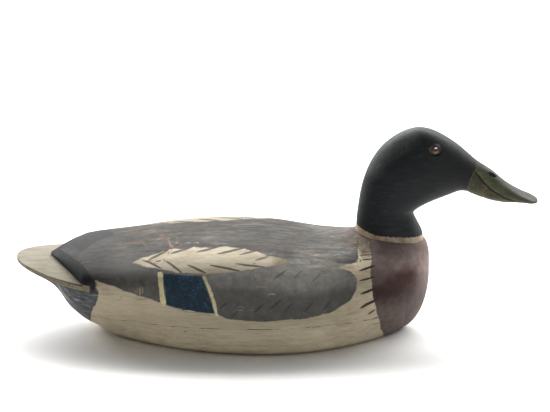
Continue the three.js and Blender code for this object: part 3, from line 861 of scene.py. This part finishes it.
def blended(tree, shares, span):
    # patterns added up by their shares, spread from 0 to 1
    total = 0.0
    for pattern, share in shares:
        total = addNode(tree, "MULTIPLY_ADD", [pattern, share, total])
    return addNode(tree, "MapRange", [total, *span])


def coatTools(tree, paints, wobble, usualSoft):
    # ways to lay one coat of paint over another, up to an edge that wanders with the wobble
    def edgeOf(name, soft=usualSoft, shift=0.0, wander=1.0):
        # 1 inside a paint line, 0 outside it
        addNode(tree, "Attribute", attribute_name=name)
        line = addNode(tree, "MULTIPLY_ADD", [wobble, wander, tree.nodes[-1].outputs["Fac"]])
        return addNode(tree, "MapRange", [line, shift - soft, shift + soft], **eased)

    def layCoat(below, paint, pattern, mask):
        coat = addNode(tree, "ValToRGB", [pattern], stops=paints[paint])
        return addNode(tree, "Mix", [mask, below, coat], data_type="RGBA")

    return edgeOf, layCoat


def sealPaint(tree, colour, cloud, brush, grit, finish):
    # the dried surface: gloss that varies with the wear, and the low relief of brush lines and grit
    shine = addNode(tree, "MapRange", [cloud, 0.0, 1.0, *finish["roughness"]])
    relief = addNode(tree, "MULTIPLY", [brush, finish["brush"]])
    relief = addNode(tree, "MULTIPLY_ADD", [grit, finish["grit"], relief])
    bump = {"Height": relief, "Strength": finish["strength"], "Distance": finish["distance"]}
    look = {"Base Color": colour, "Roughness": shine, "Normal": addNode(tree, "Bump", bump)}
    look.update({"IOR": finish["ior"], "Specular IOR Level": finish["specular"]})
    addNode(tree, "OutputMaterial", {"Surface": addNode(tree, "BsdfPrincipled", look)})


# colours of each paint, from where its pattern is 0 to where it is 1
bodyPaints = {
    "cream": [(0.0, "#a69981"), (0.5, "#b2a78f"), (1.0, "#bdb19d")],
    "stain": [(0.0, "#7f7260"), (1.0, "#9e8d78")],
    # lighter cream for low on the side, laid as painted light
    "lowCream": [(0.0, "#d4c4a3"), (1.0, "#fdf0d5")],
    "crack": [(0.0, "#40321f"), (1.0, "#4a3c2c")],
    "undertail": [(0.0, "#353639"), (0.5, "#545558"), (0.8, "#6d6e72"), (1.0, "#8e9095")],
    "back": [(0.0, "#262423"), (0.3, "#32312d"), (0.6, "#403f3b"), (0.85, "#4e4c49"), (1.0, "#5c5955")],
    "dirt": [(0.0, "#2f2822"), (0.6, "#473c33"), (1.0, "#62533f")],
    "rump": [(0.0, "#2e2c2a"), (0.5, "#3a3836"), (1.0, "#464340")],
    # wing paint, lighter than the back's, partly as painted light for the steep side
    "wing": [(0.0, "#4b4a46"), (0.5, "#585653"), (1.0, "#666560")],
    "rumpLobe": [(0.0, "#232224"), (0.6, "#2b2a2b"), (1.0, "#343230")],
    "rumpBand": [(0.0, "#090a0b"), (1.0, "#141517")],
    "patch": [(0.0, "#9d917b"), (0.5, "#aca38e"), (1.0, "#b9af9d")],
    "tan": [(0.0, "#6b5b45"), (1.0, "#81725a")],
    "blue": [(0.0, "#131f27"), (0.5, "#1d2e3a"), (0.85, "#274050"), (1.0, "#38566a")],
    "bar": [(0.0, "#b1a37d"), (1.0, "#dfdab2")],
    "shoulder": [(0.0, "#4d4238"), (0.5, "#605346"), (0.8, "#786a5a"), (1.0, "#9a8c70")],
    "breast": [(0.0, "#594a46"), (0.5, "#625551"), (1.0, "#6f6460")],
    "breastHeightBands": [
        (0.0, "#b5b5b5"), (0.13, "#aaaaaa"), (0.27, "#979797"), (0.36, "#8a8a8a"), (0.44, "#949494"),
        (0.51, "#a4a4a4"), (0.63, "#b5b5b5"), (0.71, "#dedede"), (0.79, "#e9e9e9"), (0.93, "#c6c6c6"),
    ],
    "redBreast": [(0.0, "#362120"), (0.6, "#412b29"), (1.0, "#503c3a")],
    "tail": [(0.0, "#767060"), (0.5, "#827c6c"), (1.0, "#8b8577")],
    "tailStain": [(0.0, "#675f50"), (1.0, "#797262")],
    "rim": [(0.0, "#625643"), (0.5, "#7d725e"), (1.0, "#8d836f")],
    "rimLine": [(0.0, "#17110c"), (1.0, "#30271f")],
    "root": [(0.0, "#141312"), (1.0, "#242321")],
    "stroke": [(0.0, "#403329"), (0.2, "#37322d"), (0.45, "#30261f"), (0.7, "#4a454b"), (0.95, "#5f7683")],
    "mark": [(0.0, "#7d5b48"), (0.2, "#b5b0a8"), (0.45, "#a8957b"), (0.7, "#1d1a17")],
}

# noise for each pattern: how it lies on the piece, then scale per mm, detail and roughness
bodyPatterns = {
    "streak": ("along", 0.45, 4.0, 0.62),  # brush marks 2 to 3 mm wide
    "fineStreak": ("along", 1.9, 3.0, 0.6),
    "dash": ("along", 0.9, 2.0, 0.5),
    "smear": ("longer", 0.22, 4.0, 0.6),  # dirty smears 30 mm long
    "weave": ("slanted", 1.5, 4.0, 0.65),
    "mottle": ("even", 0.035, 4.0, 0.55),
    "blotch": ("even", 0.16, 5.0, 0.65),
    "grit": ("even", 1.3, 3.0, 0.7),
    "slow": ("even", 0.11, 2.0, 0.5),
    "quick": ("even", 0.8, 3.0, 0.65),
}

# changes from place to place: what each follows, where it starts and ends, and its strength at both ends
bodyChanges = {
    # low: where the painted light on the lower side lies
    "low": ("z", 31.0, 6.0, 0.0, 0.95),
    "collar": ("height", 38.0, 52.0, 0.0, 0.75),
    "aboveCollar": ("height", 72.0, 58.0, 0.0, 0.75),
    "breastwards": ("x", 52.0, 62.0),
    "rearwards": ("x", 20.0, -90.0, 0.35, 0.95),
    # the next four shape the painted light round the turn of the side, strongest on the right
    "onRight": ("y", 15.0, 50.0, 1.0, 0.3),
    "forwards": ("x", -95.0, -45.0),
    "sparing": ("x", -22.0, 12.0, 1.7, 2.3),
    "ending": ("x", 38.0, 58.0, 1.0, 0.78),
    "rearEnd": ("x", -104.0, -116.0, 0.0, 0.45),
    "farSide": ("y", 0.0, 25.0, 1.0, 0.66),
    # the front of the breast below the neck, where its painted sheen lies
    "paintedSheenFront": ("x", 110.0, 122.0),
    "belowNeck": ("height", 56.0, 44.0),
    "flecks": ("cloud", 0.3, 0.7, 0.85, 0.6),
}

# changes that follow a pattern or a worked-out distance: where each starts and ends, then its strengths
bodySpans = {
    "tone": (0.39, 0.61),
    "cloud": (0.35, 0.65),
    "slow": (0.25, 0.75, -0.8, 0.8),
    "quick": (0.25, 0.75, -0.45, 0.45),
    "stained": (0.54, 0.7),
    "endwards": (65.0, 110.0, 1.0, 0.3),
    "seam": (0.5, 0.25, 0.0, 0.85),
    "dash": (0.5, 0.56),
    "dirt": (0.46, 0.62),
    # where the gray turns to the lighter wing paint, partly painted light
    "wingAndPaintedLight": (62.0, 38.0),
    "onRump": (-118.0, -148.0),
    # the next three spans place the painted light round the turn of the side
    "lower": (10.0, 40.0, 3.5, -2.0),
    "paintedLightZone": (27.0, 43.0),
    "fading": (66.0, 44.0),
    "tanned": (-5.0, 3.0, 0.05, 0.9),
    "brushed": (0.5, 1.0),
    "inside": (0.0, 0.7),
}
bodyFinish = {
    "roughness": (0.66, 0.82), "brush": 0.6, "grit": 0.3, "strength": 0.4, "distance": 0.0005,
    "ior": 1.48, "specular": 0.2,
}


def wornOilPaint():
    # thin matte oil paint brushed along carved pine: streaks of thicker and thinner paint, soft uneven
    # edges where two colours meet, fine grain, stains and handling marks
    material, tree = newMaterial("worn matte oil paint on pine")
    add = partial(addNode, tree)
    mm, x, y, z = millimetres(tree)
    turn = {"Rotation": (0.0, 0.75, 0.0), "Scale": (7.0, 2.0, 1.0)}
    lies = {
        "even": mm,
        "along": add("Mapping", {"Vector": mm, "Scale": (0.1, 0.42, 0.9)}),
        "longer": add("Mapping", {"Vector": mm, "Scale": (0.16, 0.45, 0.8)}),
        "slanted": add("Mapping", {"Vector": mm, **turn}, vector_type="TEXTURE"),
    }
    patterns = {}
    for name, (lie, *noiseValues) in bodyPatterns.items():
        patterns[name] = add("TexNoise", [lies[lie], *noiseValues])
    spans = bodySpans
    slow = add("MapRange", [patterns["slow"], *spans["slow"]])
    quick = add("MapRange", [patterns["quick"], *spans["quick"]])
    # how far the edge between two colours wanders, in mm
    wobble = add("ADD", [slow, quick])
    tones = [(patterns["streak"], 0.5), (patterns["mottle"], 0.2), (patterns["fineStreak"], 0.3)]
    tone = blended(tree, tones, spans["tone"])
    cloud = blended(tree, [(patterns["blotch"], 0.6), (patterns["grit"], 0.4)], spans["cloud"])
    edgeOf, layCoat = coatTools(tree, bodyPaints, wobble, 0.35)

    # height as it looks from 17 degrees above
    down = math.radians(bodyPaint["lookDown"])
    height = add("ABSOLUTE", [y])
    height = add("MULTIPLY", [height, -math.sin(down)])
    height = add("MULTIPLY_ADD", [z, math.cos(down), height])
    sources = {"x": x, "y": y, "z": z, "height": height, "cloud": cloud}
    at = {}
    for name, (source, *span) in bodyChanges.items():
        at[name] = add("MapRange", [sources[source], *span])

    # cream side, with rubbed brown stains, a lower edge made lighter as painted light against the hull's own
    # shade there, and a lighter strip along the breast
    stained = add("MapRange", [patterns["smear"], *spans["stained"]], **eased)
    someStain = add("MULTIPLY", [stained, 0.6])
    colour = add("ValToRGB", [tone], stops=bodyPaints["cream"])
    colour = layCoat(colour, "stain", cloud, someStain)
    # painted light: the cream grows lighter towards the bottom of the side, less so towards both ends
    endwards = add("ADD", [x, 28.0])
    endwards = add("ABSOLUTE", [endwards])
    endwards = add("MapRange", [endwards, *spans["endwards"]])
    low = add("MULTIPLY", [at["low"], endwards])
    colour = layCoat(colour, "lowCream", tone, low)
    collar = add("MINIMUM", [at["collar"], at["aboveCollar"]])
    collar = add("MULTIPLY_ADD", [collar, at["breastwards"], 1.0])
    colour = add("HueSaturation", {"Value": collar, "Color": colour})

    # the joint between body and bottom board, opened in thin broken dashes
    seam = add("MULTIPLY_ADD", [slow, 0.25, z])
    seam = add("SUBTRACT", [seam, hull["seam"] + 0.05])
    seam = add("ABSOLUTE", [seam])
    seam = add("MapRange", [seam, *spans["seam"]])
    dash = add("MapRange", [patterns["dash"], *spans["dash"]])
    seam = add("MULTIPLY", [seam, dash])
    colour = layCoat(colour, "crack", cloud, seam)
    colour = layCoat(colour, "undertail", tone, edgeOf("undertail", wander=0.7))

    # gray coat: streaky on top of the back, turning by height into the wing paint down the side, a paint
    # lighter than the back's that is partly painted light for the steep side
    dirt = add("MapRange", [patterns["smear"], *spans["dirt"]], **eased)
    dirt = add("MULTIPLY", [dirt, at["rearwards"]])
    gray = add("ValToRGB", [tone], stops=bodyPaints["back"])
    gray = layCoat(gray, "dirt", tone, dirt)
    # partly painted light: by height the gray turns to the lighter wing paint where the side turns steep
    uneven = add("MULTIPLY_ADD", [wobble, 4.0, height])
    uneven = add("MULTIPLY_ADD", [x, 0.06, uneven])
    wingAndPaintedLight = add("MapRange", [uneven, *spans["wingAndPaintedLight"]], **eased)
    gray = layCoat(gray, "wing", cloud, wingAndPaintedLight)
    onRump = add("MapRange", [x, *spans["onRump"]], **eased)
    gray = layCoat(gray, "rump", tone, onRump)
    gray = layCoat(gray, "rumpLobe", cloud, edgeOf("rumpLobe", 0.8))
    gray = layCoat(gray, "rumpBand", cloud, edgeOf("rumpBand", 1.0))

    # painted light round the turn of the side: the paint is made lighter there, most of all above the right
    # wing, standing in for light that falls short on it
    lower = add("SUBTRACT", [x, 18.0])
    lower = add("ABSOLUTE", [lower])
    lower = add("MapRange", [lower, *spans["lower"]])
    lower = add("ADD", [height, lower])
    paintedLightZone = add("MapRange", [lower, *spans["paintedLightZone"]], **eased)
    leaning = add("MULTIPLY_ADD", [x, -0.35, height])
    leaning = add("MINIMUM", [leaning, height])
    fading = add("MapRange", [leaning, *spans["fading"]], **eased)
    for share in (fading, at["onRight"], at["forwards"]):
        paintedLightZone = add("MULTIPLY", [paintedLightZone, share])
    paintedLightGain = add("MULTIPLY_ADD", [paintedLightZone, at["sparing"], at["ending"]])
    gray = add("HueSaturation", {"Value": paintedLightGain, "Color": gray})
    colour = add("Mix", [edgeOf("grayCoat"), colour, gray], data_type="RGBA")

    # feather patch with a tan end, blue block with its two bars
    tanned = add("MULTIPLY_ADD", [wobble, 3.0, x])
    tanned = add("MapRange", [tanned, *spans["tanned"]])
    tanned = add("MAXIMUM", [tanned, at["rearEnd"]])
    patch = add("ValToRGB", [tone], stops=bodyPaints["patch"])
    patch = layCoat(patch, "tan", cloud, tanned)
    patch = add("HueSaturation", {"Value": at["farSide"], "Color": patch})
    colour = add("Mix", [edgeOf("patch", 0.45), colour, patch], data_type="RGBA")
    brushed = blended(tree, [(cloud, 0.3), (patterns["weave"], 1.2)], spans["brushed"])
    blue = add("ValToRGB", [brushed], stops=bodyPaints["blue"])
    # the same painted light lightens the blue block round the turn of the side
    blue = add("HueSaturation", {"Value": paintedLightGain, "Color": blue})
    colour = add("Mix", [edgeOf("blueBlock", 0.3), colour, blue], data_type="RGBA")
    colour = layCoat(colour, "bar", cloud, edgeOf("barBehind", 0.35, 0.0, 0.7))
    colour = layCoat(colour, "bar", cloud, edgeOf("barAhead", 0.35, 0.25, 0.7))

    # maroon breast, darkest and reddest in its middle, paler above and below it in bands by height, and
    # lightened in front below the neck by a painted sheen
    breast = add("ValToRGB", [cloud], stops=bodyPaints["breast"])
    breast = layCoat(breast, "redBreast", cloud, edgeOf("redBreast", 6.0, 0.5, 3.0))
    worn = add("MULTIPLY_ADD", [wobble, 2.0, height])
    worn = add("DIVIDE", [worn, 70.0])
    worn = add("ValToRGB", [worn], stops=bodyPaints["breastHeightBands"])
    breast = add("Mix", [1.0, breast, worn], data_type="RGBA", blend_type="MULTIPLY")
    # painted sheen: the breast is lightened in front below the neck
    paintedSheenFront = add("MULTIPLY_ADD", [at["paintedSheenFront"], at["belowNeck"], 2.5])
    breast = add("HueSaturation", {"Value": paintedSheenFront, "Color": breast})
    colour = add("Mix", [edgeOf("breast"), colour, breast], data_type="RGBA")
    shoulder = add("MULTIPLY", [edgeOf("brownShoulder", 2.6, -0.6, 1.4), at["flecks"]])
    colour = layCoat(colour, "shoulder", tone, shoulder)

    # thin brush strokes and marks, pointed at their ends
    for label, wavering in (("stroke", 0.3), ("mark", 0.9)):
        add("Attribute", attribute_name=label + "Place")
        add("SeparateXYZ", [tree.nodes[-1].outputs["Vector"]])
        across, walked, reach = tree.nodes[-1].outputs
        add("Attribute", attribute_name=label + "Style")
        add("SeparateXYZ", [tree.nodes[-1].outputs["Vector"]])
        halfWidth, kind, thickness = tree.nodes[-1].outputs
        lens = add("SUBTRACT", [1.0, walked])
        lens = add("MULTIPLY", [lens, walked])
        lens = add("MULTIPLY", [lens, 4.0])
        lens = add("MAXIMUM", [lens, 0.0])
        lens = add("POWER", [lens, 0.32])
        lens = add("MULTIPLY", [lens, halfWidth])
        off = add("MULTIPLY_ADD", [wobble, wavering, across])
        off = add("ABSOLUTE", [off])
        inside = add("SUBTRACT", [lens, off])
        inside = add("MapRange", [inside, *spans["inside"]], **eased)
        limit = add("ADD", [halfWidth, 0.6])
        near = add("LESS_THAN", [reach, limit])
        mask = add("MULTIPLY", [inside, near])
        mask = add("MULTIPLY", [mask, thickness])
        number = add("DIVIDE", [kind, 4.1])
        paint = add("ValToRGB", [number], stops=bodyPaints[label])
        tree.nodes[-1].color_ramp.interpolation = "CONSTANT"
        colour = add("Mix", [mask, colour, paint], data_type="RGBA")

    # tail: dull cream on top, worn to tan along its rim under a thin dark line
    tail = add("ValToRGB", [tone], stops=bodyPaints["tail"])
    tail = layCoat(tail, "tailStain", cloud, someStain)
    colour = add("Mix", [edgeOf("tailTop", 0.2, 0.0, 0.2), colour, tail], data_type="RGBA")
    colour = layCoat(colour, "rim", cloud, edgeOf("tailRim", 0.15, -0.3, 0.25))
    broken = add("MULTIPLY", [edgeOf("tailRimLine", 0.25, -0.15, 0.6), 0.95])
    colour = layCoat(colour, "rimLine", cloud, broken)
    colour = layCoat(colour, "root", cloud, edgeOf("blackRoot", 1.6, 0.3, 1.2))
    sealPaint(tree, colour, cloud, patterns["fineStreak"], patterns["grit"], bodyFinish)
    return material


bodyMaterial = wornOilPaint()
bodyCarving.data.materials.append(bodyMaterial)
boardCarving.data.materials.append(bodyMaterial)
print("body painted")

headPaints = {
    # worn crown with a painted sheen
    "crown": [(0.0, "#2d3232"), (0.5, "#404644"), (0.85, "#52514c"), (1.0, "#675d53")],
    "head": [(0.0, "#090d0f"), (0.5, "#0c1316"), (0.85, "#151c1e"), (1.0, "#242526")],
    "upperBill": [(0.0, "#2a2e1c"), (0.5, "#373c26"), (1.0, "#484a34")],
    "billTip": [(0.0, "#2e2d24"), (1.0, "#403d35")],
    "lowerBill": [(0.0, "#232619"), (0.45, "#34361f"), (0.7, "#4d4430"), (1.0, "#7a6248")],
    "groove": [(0.0, "#151510"), (1.0, "#1f1e17")],
    "nostril": [(0.0, "#0b0b08"), (1.0, "#12120e")],
    "bareWood": [(0.0, "#463c2c"), (0.5, "#5a4f3b"), (1.0, "#7d7053")],
    "ring": [(0.0, "#625141"), (0.4, "#9b8974"), (1.0, "#bbaa89")],
    "lid": [(0.0, "#30241e"), (1.0, "#56443a")],
}
headPatterns = {
    "brush": ("along", 0.5, 5.0, 0.68),
    "mottle": ("even", 0.09, 4.0, 0.6),
    "grit": ("even", 0.9, 4.0, 0.7),
}
headSpans = {
    "wobble": (0.25, 0.75, -0.5, 0.5),
    "tone": (0.35, 0.65),
    "cloud": (0.36, 0.64),
    "tip": (176.0, 212.0),
    # ridge: painted shade along the bill's top, painted light on its sides
    "ridge": (6.0, 10.5, 0.55, 1.9),
    # cheek: painted light at the neck, painted shade towards the bill
    "headPaintedLightAndShade": (112.0, 142.0, 1.25, 0.45),
}
headFinish = {
    "roughness": (0.5, 0.64), "brush": 0.7, "grit": 0.3, "strength": 0.5, "distance": 0.0006,
    "ior": 1.48, "specular": 0.25,
}

# paint, its line, how soft its edge is, how far it is shifted, and how far it wanders
billCoats = [
    ("lowerBill", "mandible", 0.5),
    ("groove", "groove", 0.35, 0.1, 0.4),
    ("nostril", "nostril", 0.12, 0.0, 0.0),
    ("bareWood", "billWear", 0.6, 0.25, 2.0),
]


def satinOilPaint():
    # satin oil paint in thin coats on smooth carved pine: near-black green with the brush lines showing,
    # worn olive green on the bill, bare rubbed wood at its edges
    material, tree = newMaterial("satin oil paint on pine")
    add = partial(addNode, tree)
    mm, x, y = millimetres(tree)[:3]
    lies = {"even": mm, "along": add("Mapping", {"Vector": mm, "Scale": (0.12, 0.8, 1.0)})}
    patterns = {}
    for name, (lie, *noiseValues) in headPatterns.items():
        patterns[name] = add("TexNoise", [lies[lie], *noiseValues])
    brush, mottle, grit = patterns.values()
    spans = headSpans
    wobble = add("MapRange", [grit, *spans["wobble"]])
    tone = blended(tree, [(brush, 0.6), (mottle, 0.4)], spans["tone"])
    cloud = blended(tree, [(mottle, 0.5), (grit, 0.5)], spans["cloud"])
    edgeOf, layCoat = coatTools(tree, headPaints, wobble, 0.3)

    # bill: browner at its tip, with painted shade along its ridge and painted light on its sides
    tip = add("MapRange", [x, *spans["tip"]])
    bill = add("ValToRGB", [tone], stops=headPaints["upperBill"])
    bill = layCoat(bill, "billTip", tone, tip)
    # painted shade along the top of the bill, painted light on its sides
    ridge = add("ABSOLUTE", [y])
    ridge = add("MapRange", [ridge, *spans["ridge"]])
    bill = add("HueSaturation", {"Value": ridge, "Color": bill})
    for paint, *edge in billCoats:
        bill = layCoat(bill, paint, cloud, edgeOf(*edge))

    # head: painted light and shade make it lighter at the neck and darker towards the bill; a worn crown with
    # a painted sheen, the tan ring at its foot and brown eyelids
    # painted light and shade: the head paint is lightened at the neck and darkened towards the bill
    headPaintedLightAndShade = add("MapRange", [x, *spans["headPaintedLightAndShade"]])
    colour = add("ValToRGB", [tone], stops=headPaints["head"])
    colour = add("HueSaturation", {"Value": headPaintedLightAndShade, "Color": colour})
    # the crown's lighter coat is partly worn paint and partly a painted sheen
    colour = layCoat(colour, "crown", cloud, edgeOf("crown", 6.0, 0.0, 3.0))
    colour = add("Mix", [edgeOf("bill", 0.25, 0.0, 0.6), colour, bill], data_type="RGBA")
    colour = layCoat(colour, "ring", cloud, edgeOf("neckRing", 0.35, 0.0, 1.6))
    colour = layCoat(colour, "lid", cloud, edgeOf("eyelid", 0.3, 0.0, 0.6))
    sealPaint(tree, colour, cloud, brush, grit, headFinish)
    return material


glassPaint = [
    (0.0, "#0c0a08"), (0.27, "#0e0b08"), (0.33, "#5e4722"), (0.5, "#573d18"), (0.6, "#2c1b0e"),
    (0.75, "#120c08"),
]


def glassEye(side):
    # a domed glass eye, painted behind: black pupil, brown iris and a clear glossy front
    material, tree = newMaterial("brown glass eye, " + ("left" if side > 0 else "right"))
    add = partial(addNode, tree)
    add("TexCoord")
    centre = tuple(c / 1000 for c in eyeMiddle(side))
    offset = add("VectorMath", [tree.nodes[-1].outputs["Object"], centre], operation="SUBTRACT")
    offset = add("VectorMath", [offset, tuple(eyeAxis(side))], operation="CROSS_PRODUCT")
    reach = add("VectorMath", [offset], operation="LENGTH")
    reach = add("MapRange", {"Value": reach, "From Max": eye["radius"] / 1000})
    colour = add("ValToRGB", [reach], stops=glassPaint)
    look = {"Base Color": colour, "Roughness": 0.3, "IOR": 1.52, "Coat Weight": 1.0, "Coat Roughness": 0.03}
    add("OutputMaterial", {"Surface": add("BsdfPrincipled", look)})
    return material


headCarving.data.materials.append(satinOilPaint())
rightEye.data.materials.append(glassEye(-1))
leftEye.data.materials.append(glassEye(1))
print("head painted")


# table top, light and camera
studio = {
    "table": "#f4f3f1",
    "tentFront": 0.03,
    "tentBack": 1.5,
    "window": {"place": (0.05, 1.25, 1.4), "size": (5.0, 0.9), "power": 150.0},
    "eyeLight": {"place": (1.2, -2.15, 1.35), "size": (1.2, 0.35), "power": 18.0},
}

bm = bmesh.new()
bmesh.ops.create_circle(bm, cap_ends=True, radius=9, segments=96)
tableMesh = bpy.data.meshes.new("table_top")
bm.to_mesh(tableMesh)
bm.free()
table = newObject("table_top", tableMesh)
tableMaterial, tree = newMaterial("matte white studio paper")
shader = addNode(tree, "BsdfPrincipled", {"Base Color": studio["table"], "Roughness": 0.9, "IOR": 1.4})
addNode(tree, "OutputMaterial", {"Surface": shader})
tableMesh.materials.append(tableMaterial)

world = bpy.data.worlds.new("white tent")
scene.world = world
world.use_nodes = True
tree = world.node_tree
tree.nodes.clear()
addNode(tree, "TexCoord")
direction = tree.nodes[-1].outputs["Generated"]
addNode(tree, "SeparateXYZ", [direction])
across, away, up = tree.nodes[-1].outputs
level = addNode(tree, "ABSOLUTE", [across])
level = addNode(tree, "MULTIPLY_ADD", [level, 0.7, away])
tentRange = {"From Max": 1.1, "To Min": studio["tentFront"], "To Max": studio["tentBack"]}
level = addNode(tree, "MapRange", {"Value": level, **tentRange})
tent = addNode(tree, "Background", {"Color": "#ffffff", "Strength": level})
addNode(tree, "OutputWorld", {"Surface": tent})


def softBox(name, place, size, power):
    light = bpy.data.lights.new(name, "AREA")
    light.shape = "RECTANGLE"
    light.size, light.size_y = size
    light.energy = power
    box = newObject(name, light)
    box.visible_camera = False
    box.location = place
    box.rotation_euler = (-Vector(place)).to_track_quat("-Z", "Y").to_euler()
    return box


softBox("window", **studio["window"])
eyeLight = softBox("eye_light", **studio["eyeLight"])
eyeLight.visible_diffuse = False

scene.view_settings.view_transform = "Standard"

# the camera of the photo: a long lens, 3 m away and 17 degrees above the table
camera = {
    "distance": 3.0, "elevation": bodyPaint["lookDown"], "lens": 236.8, "target": (-0.0014, 0.007, 0.103),
}
cameraData = bpy.data.cameras.new("camera")
cameraData.lens = camera["lens"]
cameraData.sensor_width = 36
cameraData.clip_start = 0.1
cameraObject = newObject("camera", cameraData)
lift = math.radians(camera["elevation"])
back = Vector((0, -math.cos(lift), math.sin(lift)))
cameraObject.location = Vector(camera["target"]) + back * camera["distance"]
cameraObject.rotation_euler = (math.pi / 2 - lift, 0, 0)
scene.camera = cameraObject
print("studio ready")
